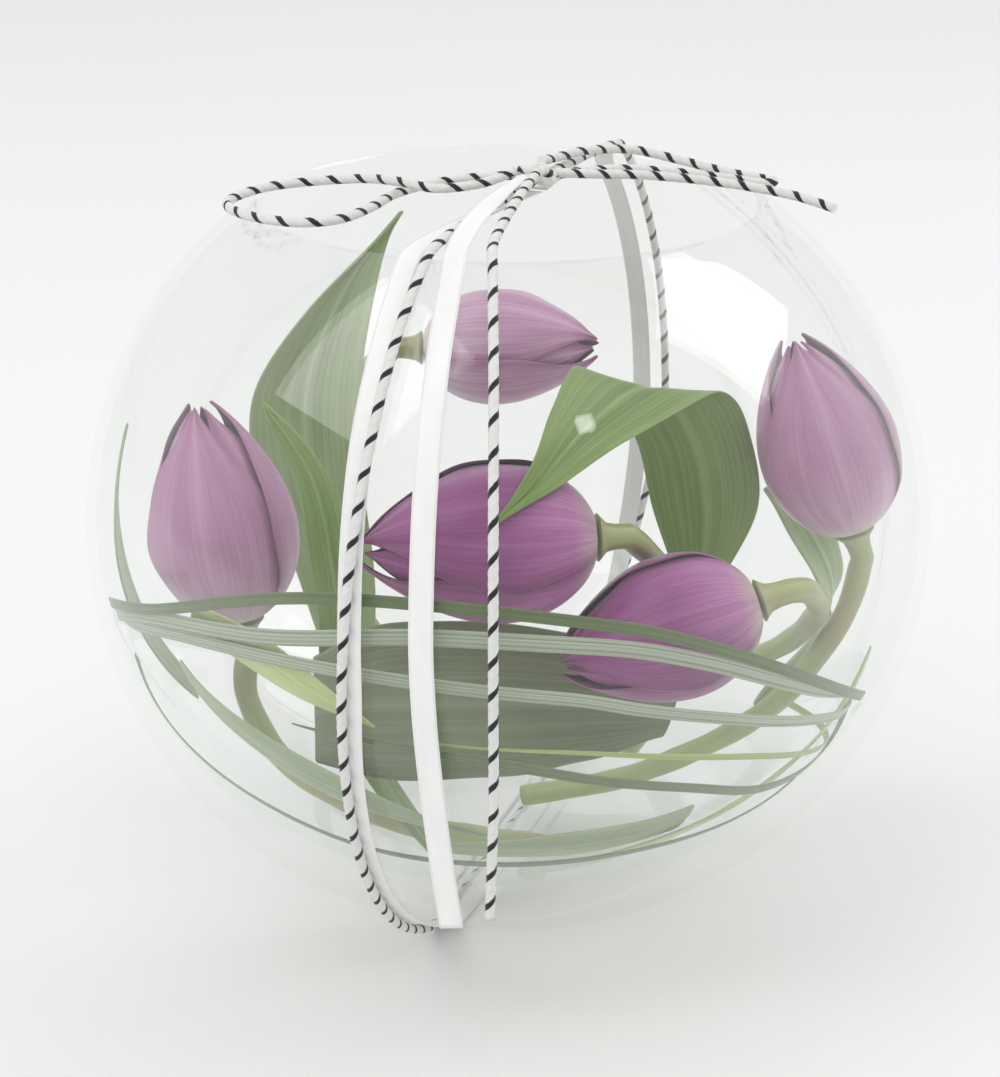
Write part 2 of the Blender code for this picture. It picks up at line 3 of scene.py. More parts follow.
import bpy
import bmesh
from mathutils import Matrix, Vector


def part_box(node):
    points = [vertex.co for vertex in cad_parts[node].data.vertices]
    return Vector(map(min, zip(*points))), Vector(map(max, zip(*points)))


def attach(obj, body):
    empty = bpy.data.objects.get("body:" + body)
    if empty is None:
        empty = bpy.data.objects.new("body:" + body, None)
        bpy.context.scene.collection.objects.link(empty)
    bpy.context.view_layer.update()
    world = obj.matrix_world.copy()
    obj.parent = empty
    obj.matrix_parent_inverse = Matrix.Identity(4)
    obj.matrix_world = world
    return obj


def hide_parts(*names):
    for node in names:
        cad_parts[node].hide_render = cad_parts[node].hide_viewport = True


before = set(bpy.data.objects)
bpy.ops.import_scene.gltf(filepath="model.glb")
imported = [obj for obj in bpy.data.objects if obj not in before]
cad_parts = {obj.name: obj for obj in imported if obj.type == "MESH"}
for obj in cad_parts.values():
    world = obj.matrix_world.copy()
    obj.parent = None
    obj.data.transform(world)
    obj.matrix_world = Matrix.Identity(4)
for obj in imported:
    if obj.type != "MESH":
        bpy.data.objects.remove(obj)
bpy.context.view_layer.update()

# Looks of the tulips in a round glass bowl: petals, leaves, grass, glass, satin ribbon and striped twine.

# Sizes in metres. Those of the bowl, the ribbon's and twine's routes and the stems repeat the CAD's.
BOWL_RADIUS = 0.100
BOWL_HALF_HEIGHT = 0.0968
BOWL_CENTRE_Z = 0.0915
RIM_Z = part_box("glass_bowl")[1][2]
RIM_ROUND = 0.0015
RIM_TURN = 0.010
WALL = 0.0025
BASE_THICKNESS = 0.008
CHANNEL_WIDTH = 0.012
CHANNEL_DEPTH = 0.0018
CHANNEL_LENGTH = 0.24
BOWL_SIDES = 144
GAP = 0.0003
RIBBON_WIDTH = 0.005
RIBBON_THICKNESS = 0.0003
SATIN_THICKNESS = 0.00022
SELVAGE_LIFT = 0.00004
TWINE_RADIUS = 0.0011
TWINE_LIFT = 0.00195
TWINE_PITCH = 0.0068
TWINE_SQUASHED = 0.00044
TWINE_SPACING = 0.0006
TWINE_SIDES = 18
STRANDS = 3
STRAND_SWELL = 0.10
STRAND_SHRINK = 0.08
FLOOR_CLEARANCE = 0.00026
WRAP_AZIMUTH = -20.0
KNOT_CENTRE = (6.0, 0.0, 175.1)
KNOT_RADII = (4.5, 4.0, 2.8)
STEM_RADIUS = 0.0027
STEM_SIDES = 20
PETAL_THICKNESS = 0.00042
PETAL_LAYER_STEP = 0.0016
PETAL_HALF_ANGLE = 60.0
PETAL_RIDGE = 0.00035
PETAL_FLUTE = 0.00018
PETAL_WAVE = 0.00035
PETAL_TUCK = 0.00065
PETAL_DROOP = 0.0016
LEAF_THICKNESS = 0.0007
LEAF_KEEL = 0.0005
LEAF_RIPPLE = 0.0005
WALL_LEAF_THICKNESS = 0.0006
WALL_LEAF_WAVE = 0.00015
GRASS_THICKNESS = 0.0004
GRASS_WAVE = 0.00008
CAMERA_PLACE = (0.0, -0.4837, 0.2823)
CAMERA_FORWARD = (-0.00356, 0.92679, -0.37556)
CAMERA_LENS = 72.1
FLOOR_HALF_SIDE = 6.0
WORLD_STRENGTH = 0.86


def mm(x, y, z):
    """A place in millimetres as a vector in metres."""
    return Vector((x, y, z)) * 0.001


# ---- node materials ------------------------------------------------------------------------------

class Painter:
    """Short calls for building one node material."""

    def __init__(self, name, roughness=0.5):
        self.material = bpy.data.materials.new(name)
        self.material.use_nodes = True
        self.tree = self.material.node_tree
        self.shader = self.tree.nodes["Principled BSDF"]
        self.shader.inputs["Roughness"].default_value = roughness
        self.output = self.tree.nodes["Material Output"]

    def node(self, kind, **settings):
        node = self.tree.nodes.new(kind)
        for key, value in settings.items():
            setattr(node, key, value)
        return node

    def link(self, source, target):
        self.tree.links.new(source, target)

    def uv(self):
        return self.node("ShaderNodeTexCoord").outputs["UV"]

    def place(self):
        return self.node("ShaderNodeTexCoord").outputs["Object"]

    def split(self, vector):
        node = self.node("ShaderNodeSeparateXYZ")
        self.link(vector, node.inputs[0])
        return node.outputs

    def stretch(self, vector, scale):
        node = self.node("ShaderNodeVectorMath", operation="MULTIPLY")
        self.link(vector, node.inputs[0])
        node.inputs[1].default_value = scale
        return node.outputs[0]

    def noise(self, vector, scale, detail=3.0):
        node = self.node("ShaderNodeTexNoise")
        node.inputs["Scale"].default_value = scale
        node.inputs["Detail"].default_value = detail
        self.link(vector, node.inputs["Vector"])
        return node.outputs["Fac"]

    def ramp(self, value, *stops):
        node = self.node("ShaderNodeValToRGB")
        ramp = node.color_ramp
        while len(ramp.elements) < len(stops):
            ramp.elements.new(0.5)
        for element, (position, colour) in zip(ramp.elements, stops):
            element.position = position
            element.color = (*colour, 1.0)
        self.link(value, node.inputs[0])
        return node.outputs["Color"]

    def grey(self, value, low, high, dark=0.0, light=1.0):
        return self.ramp(value, (low, (dark,) * 3), (high, (light,) * 3))

    def mix(self, share, first, second):
        node = self.node("ShaderNodeMix", data_type="RGBA")
        for socket, value in ((0, share), (6, first), (7, second)):
            if isinstance(value, (int, float)):
                node.inputs[socket].default_value = value
            elif isinstance(value, tuple):
                node.inputs[socket].default_value = (*value, 1.0)
            else:
                self.link(value, node.inputs[socket])
        return node.outputs[2]

    def math(self, operation, first, second=0.5):
        node = self.node("ShaderNodeMath", operation=operation)
        for socket, value in ((0, first), (1, second)):
            if isinstance(value, (int, float)):
                node.inputs[socket].default_value = value
            else:
                self.link(value, node.inputs[socket])
        return node.outputs[0]

    def colour(self, value):
        self.link(value, self.shader.inputs["Base Color"])

    def bump(self, height, distance, strength=1.0):
        node = self.node("ShaderNodeBump")
        node.inputs["Strength"].default_value = strength
        node.inputs["Distance"].default_value = distance
        self.link(height, node.inputs["Height"])
        self.link(node.outputs["Normal"], self.shader.inputs["Normal"])


def petal_material(name, base, side, body, edge, tip, light_share):
    """Petal skin: pale at the base, lighter along the middle, with fine veins running to the tip."""
    paint = Painter(name, 0.42)
    uv = paint.uv()
    across, along, _ = paint.split(uv)
    veins = paint.noise(paint.stretch(uv, (46.0, 1.6, 1.0)), 1.0, 4.0)
    broad = paint.noise(paint.stretch(uv, (3.2, 1.1, 1.0)), 1.3, 3.0)
    lengthways = paint.ramp(along, (0.0, base), (0.13, side), (0.45, body), (0.86, body), (1.0, tip))
    offset = paint.math("ABSOLUTE", paint.math("SUBTRACT", across, 0.5))
    rim = paint.grey(offset, 0.36, 0.5)
    coloured = paint.mix(paint.math("MULTIPLY", rim, 0.75), lengthways, edge)
    middle = paint.grey(offset, 0.0, 0.10, 1.0, 0.0)
    coloured = paint.mix(paint.math("MULTIPLY", middle, light_share), coloured, side)
    coloured = paint.mix(paint.grey(broad, 0.38, 0.68, 0.0, 0.55), coloured, side)
    coloured = paint.mix(paint.grey(veins, 0.40, 0.62, 0.30, 0.0), coloured, edge)
    paint.colour(coloured)
    paint.bump(veins, 0.00025, 0.6)
    paint.shader.inputs["Sheen Weight"].default_value = 0.35
    paint.shader.inputs["Sheen Roughness"].default_value = 0.4
    paint.shader.inputs["Subsurface Weight"].default_value = 0.12
    paint.shader.inputs["Subsurface Radius"].default_value = (0.004, 0.0015, 0.003)
    return paint.material


def leaf_material(name, dark, light, midrib, roughness=0.38, ribs=34.0, rib_share=0.35):
    """Waxy leaf with fine parallel veins, a paler midrib and soft patches."""
    paint = Painter(name, roughness)
    uv = paint.uv()
    across = paint.split(uv)[0]
    veins = paint.noise(paint.stretch(uv, (ribs, 0.8, 1.0)), 1.0, 3.0)
    patches = paint.noise(paint.stretch(uv, (1.8, 2.4, 1.0)), 1.0, 3.0)
    coloured = paint.mix(paint.grey(patches, 0.33, 0.68), dark, light)
    coloured = paint.mix(paint.grey(veins, 0.42, 0.60, 0.0, rib_share), coloured, midrib)
    offset = paint.math("ABSOLUTE", paint.math("SUBTRACT", across, 0.5))
    coloured = paint.mix(paint.grey(offset, 0.0, 0.045, 0.55, 0.0), coloured, midrib)
    coloured = paint.mix(paint.grey(offset, 0.465, 0.5, 0.0, 0.5), coloured, midrib)
    paint.colour(coloured)
    paint.bump(veins, 0.0003, 0.5)
    paint.shader.inputs["Coat Weight"].default_value = 0.15
    paint.shader.inputs["Coat Roughness"].default_value = 0.3
    paint.shader.inputs["Subsurface Weight"].default_value = 0.08
    paint.shader.inputs["Subsurface Radius"].default_value = (0.001, 0.003, 0.0005)
    return paint.material


def stem_material():
    """Juicy stem: streaked green with patches of brown-pink."""
    paint = Painter("stem_skin", 0.35)
    uv = paint.uv()
    streaks = paint.noise(paint.stretch(uv, (12.0, 3.0, 1.0)), 1.0, 3.0)
    blush = paint.noise(paint.stretch(paint.place(), (25.0, 25.0, 25.0)), 1.0, 2.0)
    coloured = paint.mix(streaks, (0.27, 0.36, 0.10), (0.46, 0.52, 0.25))
    coloured = paint.mix(paint.grey(blush, 0.42, 0.70, 0.0, 0.7), coloured, (0.40, 0.28, 0.20))
    paint.colour(coloured)
    paint.bump(streaks, 0.0003, 0.4)
    paint.shader.inputs["Subsurface Weight"].default_value = 0.15
    paint.shader.inputs["Subsurface Radius"].default_value = (0.002, 0.003, 0.001)
    return paint.material


def satin_material():
    """White satin: fine weft lines across the ribbon, and firm woven edges."""
    paint = Painter("white_satin", 0.34)
    uv = paint.uv()
    across = paint.split(uv)[0]
    weft = paint.noise(paint.stretch(uv, (2.0, 900.0, 1.0)), 1.0, 2.0)
    drift = paint.noise(paint.stretch(uv, (1.5, 14.0, 1.0)), 1.0, 2.0)
    offset = paint.math("ABSOLUTE", paint.math("SUBTRACT", across, 0.5))
    cloth = paint.mix(drift, (0.80, 0.80, 0.79), (0.93, 0.93, 0.92))
    cloth = paint.mix(paint.grey(offset, 0.40, 0.43, 0.0, 0.35), cloth, (0.62, 0.62, 0.62))
    cloth = paint.mix(paint.grey(offset, 0.44, 0.47, 0.0, 0.8), cloth, (0.95, 0.95, 0.94))
    paint.colour(cloth)
    paint.bump(weft, 0.0001, 0.35)
    paint.shader.inputs["Sheen Weight"].default_value = 0.4
    paint.shader.inputs["Anisotropic"].default_value = 0.5
    return paint.material


def twine_material():
    """Cotton twine laid from three strands, one of them black."""
    paint = Painter("striped_cotton", 0.85)
    uv = paint.uv()
    across = paint.split(uv)[0]
    fibres = paint.noise(paint.stretch(uv, (30.0, 260.0, 1.0)), 1.0, 4.0)
    wander = paint.math("MULTIPLY", paint.math("SUBTRACT", fibres, 0.5), 0.10)
    lane = paint.math("ADD", across, wander)
    off, on = (0.0,) * 3, (1.0,) * 3
    black = paint.ramp(lane, (0.03, off), (0.06, on), (0.27, on), (0.30, off))
    cotton = paint.mix(fibres, (0.66, 0.66, 0.64), (0.93, 0.93, 0.91))
    thread = paint.mix(fibres, (0.006, 0.006, 0.008), (0.03, 0.03, 0.035))
    paint.colour(paint.mix(black, cotton, thread))
    paint.bump(fibres, 0.0002, 0.8)
    paint.shader.inputs["Sheen Weight"].default_value = 0.2
    return paint.material


def glass_material():
    """Thin clear glass: seen straight through without bending, and more mirror-like towards its outline."""
    paint = Painter("clear_glass", 0.02)
    paint.shader.inputs["Metallic"].default_value = 1.0
    uneven = paint.noise(paint.stretch(paint.place(), (14.0, 14.0, 9.0)), 1.0, 1.0)
    tint = paint.mix(uneven, (0.965, 0.985, 0.975), (0.985, 0.995, 0.99))
    paint.colour(tint)
    paint.bump(uneven, 0.0006, 0.25)
    clear = paint.node("ShaderNodeBsdfTransparent")
    clear.inputs["Color"].default_value = (0.985, 0.99, 0.985, 1.0)
    blend_node = paint.node("ShaderNodeMixShader")
    rays = paint.node("ShaderNodeLightPath")
    weight = paint.node("ShaderNodeLayerWeight")
    weight.inputs["Blend"].default_value = 0.15
    edge = paint.math("ADD", paint.math("MULTIPLY", weight.outputs["Facing"], 0.45), 0.02)
    seen = paint.math("MULTIPLY", edge, paint.math("SUBTRACT", 1.0, rays.outputs["Is Shadow Ray"]))
    paint.link(seen, blend_node.inputs[0])
    paint.link(clear.outputs[0], blend_node.inputs[1])
    paint.link(paint.shader.outputs[0], blend_node.inputs[2])
    paint.link(blend_node.outputs[0], paint.output.inputs["Surface"])
    return paint.material


def floor_material():
    paint = Painter("pale_floor", 0.6)
    grain = paint.noise(paint.stretch(paint.place(), (3.0, 3.0, 3.0)), 1.0, 2.0)
    paint.colour(paint.mix(grain, (0.86, 0.86, 0.86), (0.88, 0.88, 0.88)))
    return paint.material


# ---- mesh helpers --------------------------------------------------------------------------------

def new_piece(name, data, material, node):
    """A piece that stands for one CAD node, riding on the only body."""
    piece = bpy.data.objects.new(name, data)
    bpy.context.scene.collection.objects.link(piece)
    data.materials.append(material)
    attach(piece, "root")
    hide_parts(node)
    return piece


def grid_mesh(name, rows, closed=False):
    """A mesh of quads through rows of points, with u across and v along."""
    columns = len(rows[0])
    vertices = [point for row in rows for point in row]
    span = columns if closed else columns - 1
    faces, corners = [], []
    for i in range(len(rows) - 1):
        for j in range(span):
            k = (j + 1) % columns
            faces.append((i * columns + j, i * columns + k, (i + 1) * columns + k, (i + 1) * columns + j))
            for column, row in ((j, i), (j + 1, i), (j + 1, i + 1), (j, i + 1)):
                corners.append((column / span, row / (len(rows) - 1)))
    mesh = bpy.data.meshes.new(name)
    mesh.from_pydata(vertices, [], faces)
    layer = mesh.uv_layers.new(name="UVMap")
    for loop, corner in zip(layer.data, corners):
        loop.uv = corner
    mesh.shade_smooth()
    return mesh


def thicken(piece, thickness, levels=1):
    solidify = piece.modifiers.new("thickness", "SOLIDIFY")
    solidify.thickness = thickness
    solidify.offset = 0.0
    if levels:
        smooth = piece.modifiers.new("smooth", "SUBSURF")
        smooth.levels = levels
        smooth.render_levels = levels


def blend(values, position):
    """Catmull-Rom value of a list of numbers or vectors at a position counted in list steps."""
    last = len(values) - 1
    index = min(max(int(position), 0), last - 1)
    t = position - index
    before = values[max(index - 1, 0)]
    start = values[index]
    end = values[index + 1]
    after = values[min(index + 2, last)]
    return 0.5 * (
        2 * start + (end - before) * t
        + (2 * before - 5 * start + 4 * end - after) * t ** 2
        + (3 * start - before - 3 * end + after) * t ** 3
    )


def smooth_route(points, count):
    """Points spaced evenly along the smooth curve through the given points."""
    steps = 400
    fine = [blend(points, i * (len(points) - 1) / steps) for i in range(steps + 1)]
    lengths = [0.0]
    for a, b in zip(fine, fine[1:]):
        lengths.append(lengths[-1] + (b - a).length)
    route = []
    index = 0
    for i in range(count):
        target = lengths[-1] * i / (count - 1)
        while index < steps - 1 and lengths[index + 1] < target:
            index += 1
        step = lengths[index + 1] - lengths[index]
        route.append(fine[index].lerp(fine[index + 1], (target - lengths[index]) / step))
    return route


def route_length(route):
    return sum((b - a).length for a, b in zip(route, route[1:]))


def table_value(table, key):
    """Straight-line value between the (key, value) pairs of a table whose keys fall."""
    for (key_a, value_a), (key_b, value_b) in zip(table, table[1:]):
        if key >= key_b:
            share = min(1.0, (key_a - key) / (key_a - key_b))
            return value_a + (value_b - value_a) * max(0.0, share)
    return table[-1][1]


def ring_frames(route):
    """Two square directions at each point of a route, carried along without turning."""
    frames = []
    side = None
    last = len(route) - 1
    for i in range(len(route)):
        tangent = (route[min(i + 1, last)] - route[max(i - 1, 0)]).normalized()
        if side is None:
            side = tangent.cross(Vector((0.3, 0.2, 0.93))).normalized()
        side = (side - tangent * side.dot(tangent)).normalized()
        frames.append((side, tangent.cross(side)))
    return frames


def tube_mesh(name, route, radii, sides, lobes=0, pitch=TWINE_PITCH):
    """A tube along a route; with lobes it is a twisted lay of that many strands."""
    rows = []
    travelled = 0.0
    for i, (centre, (side, up)) in enumerate(zip(route, ring_frames(route))):
        if i:
            travelled += (route[i] - route[i - 1]).length
        turn = 2.0 * math.pi * travelled / pitch if lobes else 0.0
        row = []
        for j in range(sides):
            angle = 2.0 * math.pi * j / sides
            swell = 1.0
            if lobes:
                swell += STRAND_SWELL * abs(math.cos(0.5 * lobes * angle)) - STRAND_SHRINK
            turned = angle + turn
            row.append(centre + (side * math.cos(turned) + up * math.sin(turned)) * radii[i] * swell)
        rows.append(row)
    mesh = grid_mesh(name, rows, closed=True)
    shape = bmesh.new()
    shape.from_mesh(mesh)
    shape.verts.ensure_lookup_table()
    shape.faces.new([shape.verts[j] for j in range(sides)][::-1])
    top = len(shape.verts) - sides
    shape.faces.new([shape.verts[top + j] for j in range(sides)])
    bmesh.ops.recalc_face_normals(shape, faces=shape.faces)
    shape.to_mesh(mesh)
    shape.free()
    return mesh


# ---- places on the glass -------------------------------------------------------------------------

def inner_half_height(z):
    if z >= BOWL_CENTRE_Z:
        return BOWL_HALF_HEIGHT - WALL
    return BOWL_CENTRE_Z - BASE_THICKNESS


def on_wall(point, inset):
    """The point moved along its ray from the bowl's centre to a set distance inside the inner surface."""
    side = BOWL_RADIUS - WALL - inset
    height = inner_half_height(point.z) - inset
    level = point.z - BOWL_CENTRE_Z
    scale = 1.0 / math.sqrt((point.x ** 2 + point.y ** 2) / side ** 2 + level ** 2 / height ** 2)
    return Vector((point.x * scale, point.y * scale, BOWL_CENTRE_Z + level * scale))


def wall_place(azimuth, height_mm, inset):
    z = height_mm * 0.001
    level = (z - BOWL_CENTRE_Z) / inner_half_height(z)
    radius = (BOWL_RADIUS - WALL) * math.sqrt(1.0 - level ** 2)
    angle = math.radians(azimuth)
    return on_wall(Vector((radius * math.sin(angle), -radius * math.cos(angle), z)), inset)


def floor_place(x_mm, y_mm, lift):
    radius = math.hypot(x_mm, y_mm) * 0.001
    side = BOWL_RADIUS - WALL
    depth = BOWL_CENTRE_Z - BASE_THICKNESS
    drop = math.sqrt(1.0 - (radius / side) ** 2)
    slope = depth * radius / (side ** 2 * drop)
    z = BOWL_CENTRE_Z - depth * drop + lift * math.sqrt(1.0 + slope ** 2)
    return Vector((x_mm * 0.001, y_mm * 0.001, z))


def outer_place(azimuth, angle, lift):
    turn = math.radians(angle)
    slope = Vector((math.cos(turn) / BOWL_RADIUS, math.sin(turn) / BOWL_HALF_HEIGHT)).normalized()
    radius = BOWL_RADIUS * math.cos(turn) + lift * slope.x
    z = BOWL_CENTRE_Z + BOWL_HALF_HEIGHT * math.sin(turn) + lift * slope.y
    around = math.radians(azimuth)
    return Vector((radius * math.sin(around), -radius * math.cos(around), z))


# ---- bowl ----------------------------------------------------------------------------------------

def make_bowl(material):
    """The glass as one finely turned body, with a soft rim and the foot's channel."""
    rim = math.asin((RIM_Z - BOWL_CENTRE_Z) / BOWL_HALF_HEIGHT)
    foot = math.asin(BOWL_CENTRE_Z / BOWL_HALF_HEIGHT)
    inner_side = BOWL_RADIUS - WALL
    low, high = BOWL_CENTRE_Z - BASE_THICKNESS, BOWL_HALF_HEIGHT - WALL
    profile = [(0.0, BASE_THICKNESS)]
    for i in range(1, 28):
        angle = math.radians(-90 + 90 * i / 28)
        profile.append((inner_side * math.cos(angle), BOWL_CENTRE_Z + low * math.sin(angle)))
    inner_rim = math.asin((RIM_Z - RIM_ROUND - BOWL_CENTRE_Z) / high)
    for i in range(20):
        angle = inner_rim * i / 19
        profile.append((inner_side * math.cos(angle), BOWL_CENTRE_Z + high * math.sin(angle)))
    inside = profile[-1][0]
    outside = BOWL_RADIUS * math.cos(rim)
    for share in (0.16, 0.36, 0.6, 0.8):
        lift = RIM_ROUND * math.sin(math.pi * min(1.0, 0.5 + share) * 0.5) ** 2
        profile.append((inside + (outside - inside) * share, RIM_Z - RIM_ROUND + lift))
    for i in range(46):
        angle = rim - RIM_TURN - (rim - RIM_TURN + foot) * i / 45
        profile.append((BOWL_RADIUS * math.cos(angle), BOWL_CENTRE_Z + BOWL_HALF_HEIGHT * math.sin(angle)))
    profile.append((0.0, 0.0))
    turns = [2.0 * math.pi * j / BOWL_SIDES for j in range(BOWL_SIDES)]
    rows = [[Vector((radius * math.cos(turn), radius * math.sin(turn), z)) for turn in turns]
            for radius, z in profile]
    mesh = grid_mesh("bowl_glass", rows, closed=True)
    shape = bmesh.new()
    shape.from_mesh(mesh)
    bmesh.ops.remove_doubles(shape, verts=shape.verts, dist=0.000001)
    bmesh.ops.recalc_face_normals(shape, faces=shape.faces)
    shape.to_mesh(mesh)
    shape.free()
    bowl = new_piece("bowl_glass", mesh, material, "glass_bowl")

    cutter_mesh = bpy.data.meshes.new("channel")
    shape = bmesh.new()
    bmesh.ops.create_cube(shape, size=1.0)
    shape.to_mesh(cutter_mesh)
    shape.free()
    cutter = bpy.data.objects.new("channel", cutter_mesh)
    bpy.context.scene.collection.objects.link(cutter)
    cutter.scale = (CHANNEL_WIDTH, CHANNEL_LENGTH, 2 * CHANNEL_DEPTH)
    cutter.rotation_euler.z = math.radians(WRAP_AZIMUTH)
    cut = bowl.modifiers.new("channel", "BOOLEAN")
    cut.object = cutter
    cut.solver = "EXACT"
    bpy.context.view_layer.update()
    graph = bpy.context.evaluated_depsgraph_get()
    solid = bpy.data.meshes.new_from_object(bowl.evaluated_get(graph))
    bowl.modifiers.clear()
    bowl.data = solid
    solid.name = "bowl_glass"
    solid.set_sharp_from_angle(angle=math.radians(40))
    bpy.data.objects.remove(cutter)


# ---- tulips --------------------------------------------------------------------------------------

def bloom_outline(t, length, radius):
    bulge = math.sin(math.pi * (0.07 + 0.90 * t ** 0.8)) ** 0.75
    return radius * bulge, length * t


def layer_outline(t, length, radius, inset):
    step = 0.01
    r_low, z_low = bloom_outline(max(t - step, 0.0), length, radius)
    r_high, z_high = bloom_outline(min(t + step, 1.0), length, radius)
    run = math.hypot(r_high - r_low, z_high - z_low)
    r, z = bloom_outline(t, length, radius)
    return r - inset * (z_high - z_low) / run, z + inset * (r_high - r_low) / run


def petal_share(t):
    if t < 0.5:
        return 1.0
    return max(0.02, (1.0 - (2.0 * t - 1.0) ** 2.6) ** 0.72)


def petal_rows(length, radius, inset, azimuth, overlap, seed):
    """Points of one petal: one edge tucks in under its neighbour, and its rim waves a little."""
    rows = []
    row_count, column_count = 30, 18
    for i in range(row_count + 1):
        t = i / row_count
        r, z = layer_outline(t, length, radius, inset)
        spread = PETAL_HALF_ANGLE + overlap * math.sin(math.pi * min(1.0, t * 1.25))
        half = math.radians(spread) * petal_share(t)
        row = []
        for j in range(column_count + 1):
            v = 2.0 * j / column_count - 1.0
            ridge = PETAL_RIDGE * math.exp(-(v / 0.10) ** 2) - PETAL_FLUTE * math.cos(9.0 * v)
            wave = PETAL_WAVE * abs(v) ** 3 * math.sin(17.0 * t + 3.1 * seed + 2.0 * v)
            tuck = -PETAL_TUCK * v * abs(v) * math.sin(math.pi * min(1.0, t * 1.1))
            out = r + (ridge + wave + tuck) * min(1.0, 5.0 * t)
            angle = math.radians(azimuth) + half * v
            droop = PETAL_DROOP * abs(v) ** 3 * max(0.0, t - 0.5)
            row.append(Vector((out * math.cos(angle), out * math.sin(angle), z - droop)))
        rows.append(row)
    return rows


def make_tulip(name, base, tip, radius_mm, roll, stem_points, stem_end, skin, stem_skin):
    axis = (tip - base).normalized()
    length = (tip - base).length
    turn = axis.to_track_quat("Z", "Y")
    seed = 0
    layers = (("outer", 0.0, 0.0, 5.0), ("inner", PETAL_LAYER_STEP, 60.0, 2.0))
    for layer, inset, offset, overlap in layers:
        for i in range(3):
            seed += 1
            node = f"{name}_petal_{layer}_{i + 1}"
            rows = petal_rows(length, radius_mm * 0.001, inset, roll + offset + 120.0 * i, overlap, seed)
            placed = [[base + turn @ point for point in row] for row in rows]
            petal = new_piece(node + "_skin", grid_mesh(node + "_skin", placed), skin, node)
            thicken(petal, PETAL_THICKNESS)

    seat_radius = bloom_outline(0.0, length, radius_mm * 0.001)[0] - 0.0002
    head = ((-0.008, STEM_RADIUS), (-0.005, 0.0028), (-0.003, 0.0032), (-0.0016, seat_radius * 0.9),
            (-0.0011, seat_radius), (-0.0008, 0.0021), (0.013, 0.0019), (0.016, 0.0009))
    head_points = [base + axis * along for along, radius in head]
    lift = STEM_RADIUS + GAP
    route = smooth_route([floor_place(*stem_end, lift)] + stem_points[::-1] + [head_points[0]], 60)
    points = route[:-1] + head_points
    radii = [STEM_RADIUS * (1.0 + 0.04 * math.sin(0.7 * i)) for i in range(len(route) - 1)]
    radii += [radius for along, radius in head]
    mesh = tube_mesh(name + "_stalk", points, radii, STEM_SIDES)
    new_piece(name + "_stalk", mesh, stem_skin, name + "_stem")


def make_tulips():
    deep = petal_material("petal_deep_magenta", (0.62, 0.55, 0.42), (0.48, 0.18, 0.42), (0.29, 0.055, 0.24),
                          (0.13, 0.012, 0.075), (0.16, 0.02, 0.10), 0.25)
    pale = petal_material("petal_pale_mauve", (0.66, 0.66, 0.50), (0.60, 0.36, 0.53), (0.44, 0.18, 0.37),
                          (0.30, 0.09, 0.21), (0.33, 0.08, 0.24), 0.55)
    faint = petal_material("petal_faint_lilac", (0.66, 0.66, 0.50), (0.66, 0.48, 0.62), (0.50, 0.24, 0.43),
                           (0.22, 0.03, 0.14), (0.20, 0.02, 0.12), 0.5)
    stem = stem_material()
    tulips = (
        ("tulip_left", mm(-61, -32, 80), mm(-69, -28, 130), 16.5, 20.0,
         [mm(-60, -35, 60), mm(-50, -38, 44), mm(-26, -33, 27)], (8, -20), pale, "petal_pale"),
        ("tulip_centre", mm(18, -58, 110), mm(-31, -67, 111), 17.0, 50.0,
         [mm(33, -43, 98), mm(44, -22, 76), mm(42, 4, 46)], (32, 22), deep, "petal_deep"),
        ("tulip_front_right", mm(53, -60, 96), mm(11, -68, 85), 15.5, 35.0,
         [mm(66, -50, 94), mm(72, -25, 78), mm(68, 4, 56), mm(54, 28, 38)], (34, 46), deep, "petal_deep"),
        ("tulip_right", mm(80, -19, 97), mm(64, -17, 142), 15.8, 10.0,
         [mm(79, -14, 70), mm(64, -4, 42), mm(34, 3, 21)], (4, 8), pale, "petal_pale"),
        ("tulip_back", mm(-21, 47, 120), mm(23, 42, 122), 14.5, 0.0,
         [mm(-45, 48, 104), mm(-51, 47, 70), mm(-32, 44, 36)], (-6, 36), faint, "petal_pale"),
    )
    for name, base, tip, radius_mm, roll, stem_points, stem_end, skin, slot in tulips:
        make_tulip(name, base, tip, radius_mm, roll, stem_points, stem_end, skin, stem)


# ---- leaves and grass ----------------------------------------------------------------------------

def leaf_share(t, shoulder):
    if t < shoulder:
        return 0.5 + 0.5 * math.sin(0.5 * math.pi * t / shoulder)
    return max(0.02, math.cos(0.5 * math.pi * (t - shoulder) / (1.0 - shoulder)) ** 0.9)


def cut_leaf_share(t, shoulder):
    return 0.35 + 0.65 * math.sin(0.5 * math.pi * min(1.0, t / shoulder))


def grass_share(t, shoulder):
    """Full width up to the shoulder, then narrowing; a shoulder of 1 is a blade cut square."""
    if t <= shoulder:
        return 1.0
    return max(0.06, ((1.0 - t) / (1.0 - shoulder)) ** 0.7)


